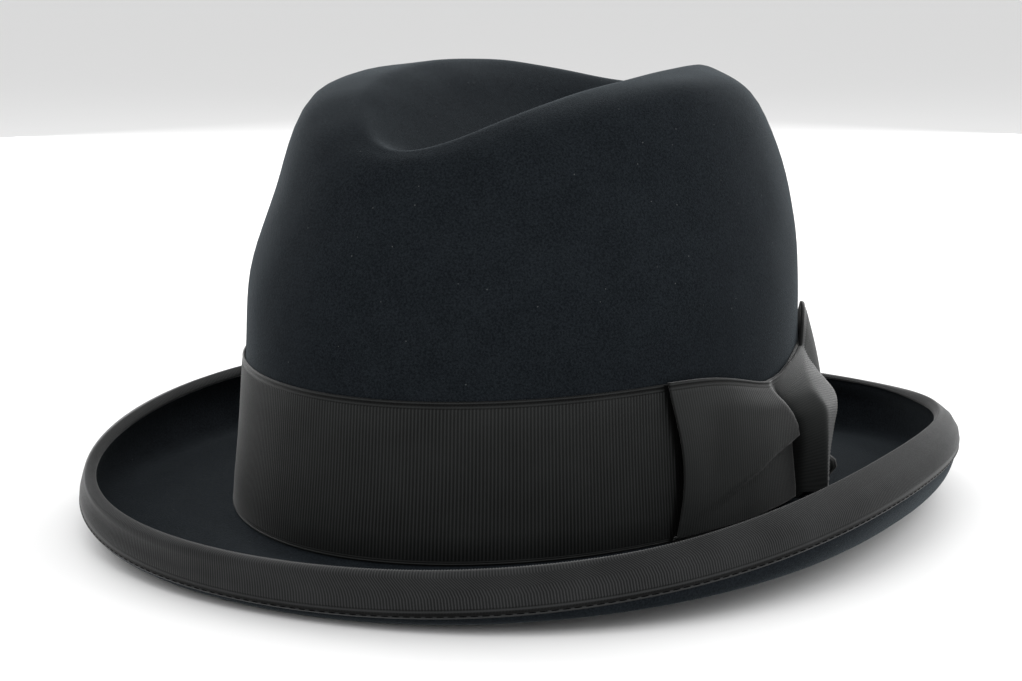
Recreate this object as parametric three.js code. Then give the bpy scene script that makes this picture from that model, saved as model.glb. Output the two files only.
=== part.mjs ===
// Homburg hat: a felt crown and brim in one piece, a ribbon band with a flat side bow, and a bound brim.
// Millimetres. The front of the hat looks along -Y, the bow is on the +X side, and the hat rests on z = 0.
import * as THREE from 'three';

// Overall sizes
const BRIM_LENGTH = 289;
const BRIM_WIDTH = 261.5;
const CROWN_LENGTH = 203.5;
const CROWN_WIDTH = 168.6;
const CROWN_HEIGHT = 134.3;
const CROWN_FORWARD = 2.8;
const CURL_HEIGHT = 27.1;

// Felt and ribbon thicknesses, the gap kept between two pieces, and how far the floor presses the felt flat
const FELT_THICKNESS = 2;
const RIBBON_THICKNESS = 0.7;
const CLEARANCE = 0.5;
const SEAT_DEPTH = 0.6;

// Height of the band's ribbon
const BAND_HEIGHT = 45.3;

// Side bow: angles are degrees round the crown from its front
const BOW_ANGLE = 101;
const DIP_ANGLE = 90;
const DIP_SPREAD = 12;
const BAND_DIP = 7.4;
const KNOT_WIDTH = 18;
const KNOT_DEPTH = 10;
const LOOP_LENGTH = 63;
const LOOP_DEPTH = 4.5;
const REAR_LENGTH = 40;
const REAR_DEPTH = 6.5;

// Facets: steps round the hat, up and across the ribbons, along a bow loop, and along a measured walk
const ROUND_STEPS = 54;
const RIBBON_STEPS = 5;
const LOOP_STEPS = 12;
const WALK_STEPS = 48;
const TINY = 1e-6;

// Angle to each side of a slice from which the way round the hat is taken
const NUDGE = 0.01;

// Spans of the brim that the binding covers, counted from its edge, on each face, and how much of the
// rim's width stays flat between its rounded corners
const BINDING_OUTSIDE = 2;
const RIM_CORNER = 0.6;
const BINDING_INSIDE = 1 / 3;

// Turns rows of numbers into rows with named columns.
function table(columns, rows) {
  return rows.map((row) => Object.fromEntries(columns.map((name, index) => [name, row[index]])));
}

// Sections of the crown, from the middle of the dent outwards and down. steps is the number of facets
// to the next section. front, back and side are shares of half the crown's length and width; egg
// narrows the front. zFront, zSide and zBack are shares of CROWN_HEIGHT, and zQuarter lifts the four
// quarters between them.
const CROWN_ROWS = table([
  'steps', 'front', 'back', 'side', 'egg', 'zFront', 'zSide', 'zBack', 'zQuarter',
], [
  [1,     0,     0,     0,    0, 0.812, 0.812, 0.812,     0],
  [1,  0.42,  0.42,  0.13,  0.1, 0.794, 0.835, 0.823,     0],
  [2,  0.54,  0.57,  0.25, 0.11, 0.809,  0.89, 0.857, 0.005],
  [2,  0.62,  0.69,  0.39, 0.12, 0.838, 0.966, 0.905,  0.01],
  [3,  0.69,  0.83,  0.51, 0.14, 0.853, 0.993, 0.928, 0.013],
  [2, 0.755,  0.87,  0.74, 0.05, 0.833, 0.968, 0.846,     0],
  [2,  0.82, 0.948, 0.875, 0.06, 0.742, 0.757, 0.757, -0.005],
  [2, 0.915, 0.984,  0.94, 0.01, 0.558, 0.573, 0.558,     0],
]);

// Row of the table above that is the crest of the ridges
const CREST_ROW = 4;

// Crown's wall behind the band, from the band's top edge down to the foot. lift is the height above the
// foot as a share of BAND_HEIGHT. The foot's own heights are shares of CURL_HEIGHT.
const WALL_ROWS = table([
  'steps', 'lift', 'front', 'back', 'side',
], [
  [1,    1, 0.947, 0.983, 0.951],
  [2,  0.5, 0.968, 0.988, 0.971],
  [2, 0.12, 0.991, 0.994, 0.992],
  [2,    0,     1,     1,     1],
]);
const FOOT_HEIGHTS = { zFront: 0.21, zSide: 0.27, zBack: 0.19 };

// Sections of the brim, from the foot of the crown outwards. front, back and side are shares of the
// overhang from the foot to the brim's full size; square fills the four quarters out. Heights are
// shares of CURL_HEIGHT. The binding covers the last two spans outside, and part of the last one inside.
const BRIM_ROWS = table([
  'steps', 'front', 'back', 'side', 'egg', 'square', 'zFront', 'zSide', 'zBack', 'zQuarter',
], [
  [2,  0.09,  0.08,  0.08,     0,     0, 0.125, 0.225, 0.115,      0],
  [2,  0.36,  0.31,  0.28,     0,     0, 0.095,   0.2, 0.095,      0],
  [1, 0.635, 0.655, 0.585,     0,  0.04,     0,  0.24,     0,   0.02],
  [3,  0.77,  0.85,  0.81,     0,  0.07,     0, 0.305,     0,   0.06],
  [2, 0.925, 0.985, 0.955,     0,  0.03, 0.125,   0.7, 0.445, -0.055],
  [3,  0.95, 0.935,  0.94,  0.01, 0.025,  0.35, 0.875,  0.61, -0.005],
  [0, 0.985,  0.91,  0.78, 0.015,  0.05,  0.55,     1,  0.72, -0.045],
]);

const FLOOR_LEVEL = FELT_THICKNESS / 2 - SEAT_DEPTH;
const BAND_LIFT = CLEARANCE + RIBBON_THICKNESS;
const BOW_LIFT = BAND_LIFT + CLEARANCE;

// Turns a row of shares into the reaches and heights of one section, in millimetres.
function crownSection(row) {
  return {
    front: CROWN_FORWARD + row.front * CROWN_LENGTH / 2,
    back: -CROWN_FORWARD + row.back * CROWN_LENGTH / 2,
    side: row.side * CROWN_WIDTH / 2,
    steps: row.steps,
    egg: row.egg,
    square: 0,
    zFront: FLOOR_LEVEL + row.zFront * CROWN_HEIGHT,
    zSide: FLOOR_LEVEL + row.zSide * CROWN_HEIGHT,
    zBack: FLOOR_LEVEL + row.zBack * CROWN_HEIGHT,
    zQuarter: row.zQuarter * CROWN_HEIGHT,
  };
}

function wallSection(row) {
  const lift = FLOOR_LEVEL + row.lift * BAND_HEIGHT;
  return {
    ...crownSection({ ...row, egg: 0, zFront: 0, zSide: 0, zBack: 0, zQuarter: 0 }),
    zFront: lift + FOOT_HEIGHTS.zFront * CURL_HEIGHT,
    zSide: lift + FOOT_HEIGHTS.zSide * CURL_HEIGHT,
    zBack: lift + FOOT_HEIGHTS.zBack * CURL_HEIGHT,
  };
}

function brimSection(row) {
  const foot = wallSection(WALL_ROWS[WALL_ROWS.length - 1]);
  return {
    front: foot.front + row.front * (BRIM_LENGTH / 2 - foot.front),
    back: foot.back + row.back * (BRIM_LENGTH / 2 - foot.back),
    side: foot.side + row.side * (BRIM_WIDTH / 2 - foot.side),
    steps: row.steps,
    egg: row.egg,
    square: row.square,
    zFront: FLOOR_LEVEL + row.zFront * CURL_HEIGHT,
    zSide: FLOOR_LEVEL + row.zSide * CURL_HEIGHT,
    zBack: FLOOR_LEVEL + row.zBack * CURL_HEIGHT,
    zQuarter: row.zQuarter * CURL_HEIGHT,
  };
}

const SECTIONS = [
  ...CROWN_ROWS.map(crownSection),
  ...WALL_ROWS.map(wallSection),
  ...BRIM_ROWS.map(brimSection),
];
const SPANS = SECTIONS.length - 1;
const RING_SHARES = SECTIONS.flatMap(({ steps }, row) => (
  Array.from({ length: steps }, (_, step) => (row + (step + 1) / steps) / SPANS)
));
const FOOT_SHARE = (CROWN_ROWS.length + WALL_ROWS.length - 1) / SPANS;

// Point of one section at an angle round the hat. Zero is the front, a quarter turn is the bow side.
function sectionPoint(section, angle) {
  const along = Math.cos(angle);
  const across = Math.sin(angle);
  const quarter = Math.sin(2 * angle) ** 2;
  const spread = 1 + section.square * quarter;
  const width = section.side * across * (1 - section.egg * along);
  const half = (section.front + section.back) / 2;
  const reach = half * along + (section.front - half) * along * along;
  const ends = (section.zFront + section.zBack) / 2;
  const height = section.zSide + (ends - section.zSide) * along * along
    + (section.zFront - section.zBack) / 2 * along + section.zQuarter * quarter;
  return new THREE.Vector3(width * spread, -reach * spread, height);
}

// Curve down the middle of the felt at one angle, from the dent's centre to the brim's edge.
function meridian(angle) {
  const points = SECTIONS.map((section) => sectionPoint(section, angle));
  return new THREE.CatmullRomCurve3(points, false, 'centripetal');
}

// The felt's middle surface at an angle: a point, and the way out of its upper and outer face.
class Slice {
  constructor(angle) {
    this.curve = meridian(angle);
    this.before = meridian(angle - NUDGE);
    this.after = meridian(angle + NUDGE);
  }

  at(share) {
    const point = this.curve.getPoint(share);
    const down = this.curve.getTangent(share);
    const round = this.after.getPoint(share).sub(this.before.getPoint(share));
    const normal = new THREE.Vector3().crossVectors(down, round);
    if (normal.lengthSq() === 0) normal.set(0, 0, 1);
    normal.normalize();
    const ahead = new THREE.Vector3().crossVectors(round, normal).normalize();
    return { point, ahead, normal };
  }

  // Point on or off the felt: offset along the normal, and past the edge, square to it.
  off(share, offset, beyond = 0) {
    const { point, ahead, normal } = this.at(share);
    return point.addScaledVector(normal, offset).addScaledVector(ahead, beyond);
  }

  // Shares of the curve at given lengths from a starting share, walking inwards.
  walk(start, end, lengths) {
    const shares = [];
    let last = this.curve.getPoint(start);
    let lastShare = start;
    let travelled = 0;
    for (let step = 1; step <= WALK_STEPS && shares.length < lengths.length; step += 1) {
      const share = start + (end - start) * step / WALK_STEPS;
      const point = this.curve.getPoint(share);
      const piece = point.distanceTo(last);
      while (shares.length < lengths.length && travelled + piece >= lengths[shares.length]) {
        const part = (lengths[shares.length] - travelled) / piece;
        shares.push(lastShare + (share - lastShare) * part);
      }
      travelled += piece;
      last = point;
      lastShare = share;
    }
    while (shares.length < lengths.length) shares.push(end);
    return shares;
  }
}

const slices = new Map();
function sliceAt(angle) {
  if (!slices.has(angle)) slices.set(angle, new Slice(angle));
  return slices.get(angle);
}

function evenly(steps) {
  return Array.from({ length: steps + 1 }, (_, index) => index / steps);
}

const ROUND = Array.from({ length: ROUND_STEPS }, (_, index) => index * 2 * Math.PI / ROUND_STEPS);

// Builds a closed body from loops of points. Each loop is a closed section; the loops either close into
// a ring or are capped at both ends.
function loopsToGeometry(loops, ring) {
  const size = loops[0].length;
  const points = loops.flat();
  const triangles = [];
  const last = ring ? loops.length : loops.length - 1;
  for (let row = 0; row < last; row += 1) {
    const next = (row + 1) % loops.length;
    for (let column = 0; column < size; column += 1) {
      const beside = (column + 1) % size;
      const a = row * size + column;
      const b = row * size + beside;
      const c = next * size + beside;
      const d = next * size + column;
      triangles.push([a, b, d], [b, c, d]);
    }
  }
  if (!ring) {
    const middle = size / 2;
    const end = (loops.length - 1) * size;
    for (let column = 0; column < middle - 1; column += 1) {
      const a = column;
      const b = column + 1;
      const c = size - 2 - column;
      const d = size - 1 - column;
      triangles.push([b, a, d], [b, d, c]);
      triangles.push([end + a, end + b, end + c], [end + a, end + c, end + d]);
    }
  }
  return closedGeometry(points, triangles);
}

// Makes the geometry and turns its faces outwards.
function closedGeometry(points, triangles) {
  let volume = 0;
  for (const [a, b, c] of triangles) {
    volume += points[a].dot(new THREE.Vector3().crossVectors(points[b], points[c]));
  }
  const index = triangles.flatMap(([a, b, c]) => (volume > 0 ? [a, b, c] : [a, c, b]));
  const geometry = new THREE.BufferGeometry().setFromPoints(points);
  geometry.setIndex(index);
  geometry.computeVertexNormals();
  return geometry;
}

// Felt crown and brim: upper face out to the edge, and lower face back to the middle of the dent.
function feltGeometry() {
  const half = FELT_THICKNESS / 2;
  const points = [];
  const triangles = [];
  const centres = [half, -half].map((offset) => points.push(sliceAt(0).off(0, offset)) - 1);
  const start = points.length;
  const order = [
    ...RING_SHARES.map((share) => [share, half]),
    ...RING_SHARES.map((share) => [share, -half]).reverse(),
  ];
  for (const [share, offset] of order) {
    for (const angle of ROUND) {
      const point = sliceAt(angle).off(share, offset);
      point.z = Math.max(point.z, 0);
      points.push(point);
    }
  }
  const at = (row, column) => start + row * ROUND_STEPS + (column % ROUND_STEPS);
  for (let column = 0; column < ROUND_STEPS; column += 1) {
    triangles.push([centres[0], at(0, column), at(0, column + 1)]);
    triangles.push([centres[1], at(order.length - 1, column + 1), at(order.length - 1, column)]);
    for (let row = 0; row < order.length - 1; row += 1) {
      triangles.push([at(row, column), at(row + 1, column), at(row + 1, column + 1)]);
      triangles.push([at(row, column), at(row + 1, column + 1), at(row, column + 1)]);
    }
  }
  return closedGeometry(points, triangles);
}

// Ribbon folded over the brim's edge, from its inner edge over the rim to its stitched outer edge.
function bindingGeometry() {
  const near = FELT_THICKNESS / 2 + CLEARANCE;
  const far = near + RIBBON_THICKNESS;
  const outside = RING_SHARES.filter((share) => share >= 1 - BINDING_OUTSIDE / SPANS - TINY).reverse();
  const inside = RING_SHARES.filter((share) => share >= 1 - BINDING_INSIDE / SPANS - TINY);
  const loops = ROUND.map((angle) => {
    const slice = sliceAt(angle);
    const face = (offset, edge, round) => [
      ...inside.map((share) => slice.off(share, offset)),
      slice.off(1, offset * round, edge),
      slice.off(1, -offset * round, edge),
      ...outside.map((share) => slice.off(share, -offset)),
    ];
    return [...face(far, CLEARANCE + RIBBON_THICKNESS, RIM_CORNER), ...face(near, CLEARANCE, 1).reverse()];
  });
  return loopsToGeometry(loops, true);
}

// Height of the band's top edge above the foot at an angle. The bow draws it down just before its knot.
function bandHeight(angle) {
  const away = (angle * 180 / Math.PI - DIP_ANGLE) / DIP_SPREAD;
  return BAND_HEIGHT - BAND_DIP * Math.exp(-(away ** 2));
}

// Points up the crown's wall: heights above the foot, and offsets from the felt's outer face.
function wallPoints(angle, climbs, offsets) {
  const slice = sliceAt(angle);
  const shares = slice.walk(FOOT_SHARE, CREST_ROW / SPANS, climbs);
  return shares.map((share, index) => slice.off(share, FELT_THICKNESS / 2 + offsets[index]));
}

function bandGeometry() {
  const loops = ROUND.map((angle) => {
    const height = bandHeight(angle) - CLEARANCE;
    const climbs = evenly(RIBBON_STEPS).map((share) => CLEARANCE + share * height);
    const near = wallPoints(angle, climbs, climbs.map(() => CLEARANCE));
    const far = wallPoints(angle, climbs, climbs.map(() => BAND_LIFT));
    return [...near, ...far.reverse()];
  });
  return loopsToGeometry(loops, true);
}

// Values of a table's columns between two of its rows, at a value of its first column.
function tableAt(rows, key, value) {
  const next = Math.max(1, rows.findIndex((row) => row[key] >= value));
  const low = rows[next - 1];
  const high = rows[next];
  const part = smooth((value - low[key]) / (high[key] - low[key]));
  const blended = {};
  for (const name of Object.keys(low)) blended[name] = low[name] + (high[name] - low[name]) * part;
  return blended;
}

// Angle round the crown at a distance along its wall from the middle of the knot, towards the front.
function bowAngle(distance) {
  return BOW_ANGLE * Math.PI / 180 - distance / (CROWN_LENGTH / 2);
}

// Rises from 0 to 1 with soft ends.
function smooth(value) {
  const clamped = Math.min(1, Math.max(0, value));
  return clamped * clamped * (3 - 2 * clamped);
}

// Front loop of the bow, from the knot (0) to its folded free edge (1). Below the fold the ribbon lies
// closer to the band, and above it puffs out. Depths are shares of LOOP_DEPTH, heights of the band's.
const LOOP_ROWS = table([
  'at', 'low', 'high', 'fold', 'below', 'above', 'top',
], [
  [   0, 0.03,     1,  0.4, 0.35,  1.1,  0.4],
  [0.12, 0.02,     1, 0.36,  0.4,  1.1, 0.55],
  [ 0.3, 0.01, 1.005,  0.3, 0.45,  1.0,  0.6],
  [0.55, 0.01,  1.01,  0.2, 0.55, 0.95, 0.65],
  [ 0.8, 0.01,  1.01,  0.1,  0.6,  0.9, 0.65],
  [0.94, 0.01, 1.005, 0.05,  0.6, 0.85,  0.6],
  [   1, 0.02,     1, 0.02,  0.3,  0.5, 0.35],
]);

// Shares of the loop's height over which the fold rises and the top rolls over
const FOLD_SOFTNESS = 0.2;
const TOP_ROLL = 0.3;

function frontLoopGeometry() {
  const start = KNOT_WIDTH / 2 + CLEARANCE;
  const steps = evenly(RIBBON_STEPS + 1);
  const loops = evenly(LOOP_STEPS).map((at) => {
    const row = tableAt(LOOP_ROWS, 'at', at);
    const angle = bowAngle(start + at * LOOP_LENGTH);
    const height = bandHeight(angle);
    const climbs = steps.map((step) => (row.low + (row.high - row.low) * step) * height);
    const depths = steps.map((step) => {
      const body = row.below + (row.above - row.below) * smooth((step - row.fold) / FOLD_SOFTNESS);
      const depth = body + (row.top - body) * smooth((step - 1) / TOP_ROLL + 1);
      return BOW_LIFT + depth * LOOP_DEPTH;
    });
    const near = wallPoints(angle, climbs, climbs.map(() => BOW_LIFT));
    return [...wallPoints(angle, climbs, depths), ...near.reverse()];
  });
  return loopsToGeometry(loops, false);
}

// Rear loop of the bow, from the knot (0) to its cut end (1). Its upper corner stands above the band.
const REAR_ROWS = table([
  'at', 'low', 'high', 'middle', 'edge',
], [
  [   0, 0.04, 0.98,   1,  0.2],
  [0.15, 0.03,  1.1, 1.2, 0.15],
  [ 0.4, 0.02, 1.32,   1, 0.12],
  [ 0.7, 0.03, 1.42, 0.7, 0.12],
  [   1, 0.12,  1.2, 0.3, 0.12],
]);

function rearLoopGeometry() {
  const start = KNOT_WIDTH / 2 + CLEARANCE;
  const steps = evenly(RIBBON_STEPS + 1);
  const loops = evenly(LOOP_STEPS).map((at) => {
    const row = tableAt(REAR_ROWS, 'at', at);
    const angle = bowAngle(-start - at * REAR_LENGTH);
    const height = BAND_HEIGHT - BAND_DIP;
    const climbs = steps.map((step) => (row.low + (row.high - row.low) * step) * height);
    const depths = steps.map((step) => {
      const bulge = 1 - (2 * step - 1) ** 2;
      return BOW_LIFT + (row.edge + (row.middle - row.edge) * bulge) * REAR_DEPTH;
    });
    const near = wallPoints(angle, climbs, climbs.map(() => BOW_LIFT));
    return [...wallPoints(angle, climbs, depths), ...near.reverse()];
  });
  return loopsToGeometry(loops, false);
}

// Knot: an upright wrap, rounded across, that sinks towards the crown at its top.
const KNOT_ROWS = table([
  'height', 'middle', 'edge',
], [
  [0.02, 0.55,  0.3],
  [0.15, 0.78, 0.42],
  [0.35, 0.95,  0.5],
  [ 0.6,    1,  0.5],
  [ 0.8, 0.75, 0.36],
  [0.94,  0.4, 0.22],
  [   1,  0.2, 0.14],
]);

function knotGeometry() {
  const acrossSteps = evenly(RIBBON_STEPS + 1).map((share) => 2 * share - 1);
  const loops = acrossSteps.map((across) => {
    const angle = bowAngle(across * KNOT_WIDTH / 2);
    const climbs = KNOT_ROWS.map((row) => row.height * bandHeight(angle));
    const depths = KNOT_ROWS.map((row) => {
      const depth = row.edge + (row.middle - row.edge) * (1 - across * across);
      return BOW_LIFT + depth * KNOT_DEPTH;
    });
    const near = wallPoints(angle, climbs, climbs.map(() => BOW_LIFT));
    return [...wallPoints(angle, climbs, depths), ...near.reverse()];
  });
  return loopsToGeometry(loops, false);
}

const FELT_LOOK = { color: 0x17191d, roughness: 0.95, metalness: 0 };
const RIBBON_LOOK = { color: 0x1e1f21, roughness: 0.7, metalness: 0 };

const group = new THREE.Group();
function addPiece(name, geometry, look) {
  const mesh = new THREE.Mesh(geometry, new THREE.MeshStandardMaterial(look));
  mesh.name = name;
  group.add(mesh);
}

addPiece('felt_body', feltGeometry(), FELT_LOOK);
addPiece('hat_band', bandGeometry(), RIBBON_LOOK);
addPiece('bow_front_loop', frontLoopGeometry(), RIBBON_LOOK);
addPiece('bow_knot', knotGeometry(), RIBBON_LOOK);
addPiece('bow_rear_loop', rearLoopGeometry(), RIBBON_LOOK);
addPiece('brim_binding', bindingGeometry(), RIBBON_LOOK);

export default group;
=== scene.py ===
import math
from collections import namedtuple

import bpy
import numpy as np
from mathutils import Matrix, Vector


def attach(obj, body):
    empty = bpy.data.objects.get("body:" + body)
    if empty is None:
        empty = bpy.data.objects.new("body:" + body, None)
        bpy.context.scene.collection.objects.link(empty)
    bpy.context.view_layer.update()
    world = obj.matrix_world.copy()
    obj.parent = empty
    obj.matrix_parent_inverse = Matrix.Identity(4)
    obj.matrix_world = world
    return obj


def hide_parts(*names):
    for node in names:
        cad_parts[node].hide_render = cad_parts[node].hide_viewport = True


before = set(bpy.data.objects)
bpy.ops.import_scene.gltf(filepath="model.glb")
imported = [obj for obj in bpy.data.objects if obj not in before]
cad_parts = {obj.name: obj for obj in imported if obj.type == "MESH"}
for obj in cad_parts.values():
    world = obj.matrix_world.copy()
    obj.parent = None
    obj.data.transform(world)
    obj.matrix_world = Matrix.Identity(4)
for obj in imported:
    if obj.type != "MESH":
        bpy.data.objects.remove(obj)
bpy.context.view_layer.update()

MM = 0.001

# Overall sizes of the felt's middle surface
BRIM_LENGTH = 289 * MM
BRIM_WIDTH = 261.5 * MM
CROWN_LENGTH = 203.5 * MM
CROWN_WIDTH = 168.6 * MM
CROWN_HEIGHT = 134.3 * MM
CROWN_FORWARD = 2.8 * MM
CURL_HEIGHT = 27.1 * MM

# Felt and ribbon
FELT_THICKNESS = 2 * MM
SEAT_DEPTH = 0.6 * MM
RIBBON_THICKNESS = 0.4 * MM
RIBBON_GAP = 0.4 * MM
BAND_HEIGHT = 45.3 * MM
BAND_RIB_PITCH = 1 * MM
BINDING_RIB_PITCH = 0.78 * MM
RIB_DEPTH = 0.2 * MM

# Side bow
BOW_ANGLE = 101
DIP_ANGLE = 89
DIP_SPREAD = 14
BAND_DIP = 6.9 * MM
KNOT_WIDTH = 18 * MM
LOOP_DEPTH = 4.5 * MM
REAR_LENGTH = 40 * MM
REAR_DEPTH = 6.5 * MM

FLOOR_LEVEL = FELT_THICKNESS / 2 - SEAT_DEPTH
HALF_FELT = FELT_THICKNESS / 2
BAND_LIFT = HALF_FELT + RIBBON_GAP + RIBBON_THICKNESS
BOW_LIFT = BAND_LIFT + RIBBON_GAP

# Rows of the tables below: shares of the overall sizes, as in the part's own sections
CROWN_COLUMNS = "steps front back side egg z_front z_side z_back z_quarter"
CROWN_ROWS = (
    (1, 0, 0, 0, 0, 0.812, 0.812, 0.812, 0),
    (1, 0.42, 0.42, 0.13, 0.1, 0.794, 0.835, 0.823, 0),
    (2, 0.54, 0.57, 0.25, 0.11, 0.809, 0.89, 0.857, 0.005),
    (2, 0.62, 0.69, 0.39, 0.12, 0.838, 0.966, 0.905, 0.01),
    (3, 0.69, 0.83, 0.51, 0.14, 0.853, 0.993, 0.928, 0.013),
    (2, 0.755, 0.87, 0.74, 0.05, 0.833, 0.968, 0.846, 0),
    (2, 0.82, 0.948, 0.875, 0.06, 0.742, 0.757, 0.757, -0.005),
    (2, 0.915, 0.984, 0.94, 0.01, 0.558, 0.573, 0.558, 0),
)
CREST_ROW = 4
WALL_COLUMNS = "steps lift front back side"
WALL_ROWS = (
    (1, 1, 0.947, 0.983, 0.951),
    (2, 0.5, 0.968, 0.988, 0.971),
    (2, 0.12, 0.991, 0.994, 0.992),
    (2, 0, 1, 1, 1),
)
FOOT_HEIGHTS = {"z_front": 0.21, "z_side": 0.27, "z_back": 0.19}
BRIM_COLUMNS = "steps front back side egg square z_front z_side z_back z_quarter"
BRIM_ROWS = (
    (2, 0.09, 0.08, 0.08, 0, 0, 0.125, 0.225, 0.115, 0),
    (2, 0.36, 0.31, 0.28, 0, 0, 0.095, 0.2, 0.095, 0),
    (1, 0.635, 0.655, 0.585, 0, 0.04, 0, 0.24, 0, 0.02),
    (3, 0.77, 0.85, 0.81, 0, 0.07, 0, 0.305, 0, 0.06),
    (2, 0.925, 0.985, 0.955, 0, 0.03, 0.125, 0.7, 0.445, -0.055),
    (3, 0.95, 0.935, 0.94, 0.01, 0.025, 0.35, 0.875, 0.61, -0.005),
    (0, 0.985, 0.91, 0.78, 0.015, 0.05, 0.55, 1, 0.72, -0.045),
)

Section = namedtuple("Section", "steps front back side egg square z_front z_side z_back z_quarter")


def table(columns, rows):
    """Rows of numbers as dicts with named columns."""
    return [dict(zip(columns.split(), row)) for row in rows]


def crown_section(row):
    return Section(
        row["steps"],
        CROWN_FORWARD + row["front"] * CROWN_LENGTH / 2,
        -CROWN_FORWARD + row["back"] * CROWN_LENGTH / 2,
        row["side"] * CROWN_WIDTH / 2,
        row["egg"],
        0,
        FLOOR_LEVEL + row["z_front"] * CROWN_HEIGHT,
        FLOOR_LEVEL + row["z_side"] * CROWN_HEIGHT,
        FLOOR_LEVEL + row["z_back"] * CROWN_HEIGHT,
        row["z_quarter"] * CROWN_HEIGHT,
    )


def wall_section(row):
    flat = crown_section({**row, "egg": 0, "z_front": 0, "z_side": 0, "z_back": 0, "z_quarter": 0})
    heights = {
        name: FLOOR_LEVEL + row["lift"] * BAND_HEIGHT + share * CURL_HEIGHT
        for name, share in FOOT_HEIGHTS.items()
    }
    return flat._replace(**heights)


def brim_section(row):
    foot = wall_section(table(WALL_COLUMNS, WALL_ROWS)[-1])
    return Section(
        row["steps"],
        foot.front + row["front"] * (BRIM_LENGTH / 2 - foot.front),
        foot.back + row["back"] * (BRIM_LENGTH / 2 - foot.back),
        foot.side + row["side"] * (BRIM_WIDTH / 2 - foot.side),
        row["egg"],
        row["square"],
        FLOOR_LEVEL + row["z_front"] * CURL_HEIGHT,
        FLOOR_LEVEL + row["z_side"] * CURL_HEIGHT,
        FLOOR_LEVEL + row["z_back"] * CURL_HEIGHT,
        row["z_quarter"] * CURL_HEIGHT,
    )


SECTIONS = (
    [crown_section(row) for row in table(CROWN_COLUMNS, CROWN_ROWS)]
    + [wall_section(row) for row in table(WALL_COLUMNS, WALL_ROWS)]
    + [brim_section(row) for row in table(BRIM_COLUMNS, BRIM_ROWS)]
)
SPANS = len(SECTIONS) - 1
CREST_SHARE = CREST_ROW / SPANS
FOOT_SHARE = (len(CROWN_ROWS) + len(WALL_ROWS) - 1) / SPANS

# Half step round the hat for its cross direction, steps along and round it for measuring lengths, and the
# smallest length that counts
TURN_NUDGE = 0.01
WALK_STEPS = 160
OUTLINE_STEPS = 2880
TINY = 1e-12


def smooth(value):
    """Rises from 0 to 1 with soft ends."""
    clamped = np.clip(value, 0, 1)
    return clamped * clamped * (3 - 2 * clamped)


def section_points(angles):
    """Points of every section at each angle round the hat. Zero is the front."""
    along, across = np.cos(angles), np.sin(angles)
    quarter = np.sin(2 * angles) ** 2
    rows = []
    for s in SECTIONS:
        spread = 1 + s.square * quarter
        width = s.side * across * (1 - s.egg * along)
        half = (s.front + s.back) / 2
        reach = half * along + (s.front - half) * along ** 2
        ends = (s.z_front + s.z_back) / 2
        height = s.z_side + (ends - s.z_side) * along ** 2
        height = height + (s.z_front - s.z_back) / 2 * along + s.z_quarter * quarter
        rows.append(np.stack([width * spread, -reach * spread, height], -1))
    return np.array(rows)


def spline(knots, shares):
    """Point and direction on each angle's centripetal curve through its knots, at the given shares."""
    place = np.clip(shares, 0, 1) * SPANS
    span = np.minimum(place.astype(int), SPANS - 1)
    part = (place - span)[..., None]
    column = np.arange(knots.shape[1])
    padded = np.concatenate([2 * knots[:1] - knots[1:2], knots, 2 * knots[-1:] - knots[-2:-1]])
    p0, p1, p2, p3 = (padded[span + step, column] for step in range(4))

    def gap(a, b):
        return np.sqrt(np.linalg.norm(b - a, axis=-1, keepdims=True))

    d0, d1, d2 = gap(p0, p1), gap(p1, p2), gap(p2, p3)
    start = ((p1 - p0) / d0 - (p2 - p0) / (d0 + d1) + (p2 - p1) / d1) * d1
    end = ((p2 - p1) / d1 - (p3 - p1) / (d1 + d2) + (p3 - p2) / d2) * d1
    square = -3 * p1 + 3 * p2 - 2 * start - end
    cube = 2 * p1 - 2 * p2 + start + end
    point = p1 + part * (start + part * (square + part * cube))
    direction = start + part * (2 * square + 3 * part * cube)
    return point, direction


def unit(vectors):
    return vectors / np.maximum(np.linalg.norm(vectors, axis=-1, keepdims=True), TINY)


class Meridians:
    """The felt's middle surface along a row of angles. Shares have a row for each point down from the
    dent's centre (0) to the brim's edge (1), and a column for each angle."""

    def __init__(self, angles):
        self.angles = np.asarray(angles, float)
        self.knots = section_points(self.angles)
        self.before = section_points(self.angles - TURN_NUDGE)
        self.after = section_points(self.angles + TURN_NUDGE)

    def grid(self, shares):
        shares = np.asarray(shares, float)
        if shares.ndim == 1:
            shares = np.repeat(shares[:, None], len(self.angles), 1)
        return shares

    def off(self, shares, offset=0.0, beyond=0.0):
        """Points off the surface: offset towards the upper or outer face, and beyond past the edge."""
        shares = self.grid(shares)
        point, down = spline(self.knots, shares)
        turn = spline(self.after, shares)[0] - spline(self.before, shares)[0]
        normal = np.cross(down, turn)
        normal[np.linalg.norm(normal, axis=-1) < TINY] = (0, 0, 1)
        offset = np.broadcast_to(np.asarray(offset, float), shares.shape)[..., None]
        beyond = np.broadcast_to(np.asarray(beyond, float), shares.shape)[..., None]
        normal = unit(normal)
        return point + normal * offset + unit(np.cross(turn, normal)) * beyond

    def walk(self, start, end, lengths=None):
        """Shares at lengths along the surface from one share towards another, or the whole length."""
        shares = np.linspace(start, end, WALK_STEPS)
        points = self.off(shares)
        pieces = np.linalg.norm(np.diff(points, axis=0), axis=-1)
        walked = np.concatenate([np.zeros((1, pieces.shape[1])), np.cumsum(pieces, 0)])
        if lengths is None:
            return walked[-1]
        lengths = self.grid(lengths)
        columns = [np.interp(lengths[:, i], walked[:, i], shares) for i in range(lengths.shape[1])]
        return np.stack(columns, 1)

    def climb(self, heights):
        return self.walk(FOOT_SHARE, CREST_SHARE, heights)


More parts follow.
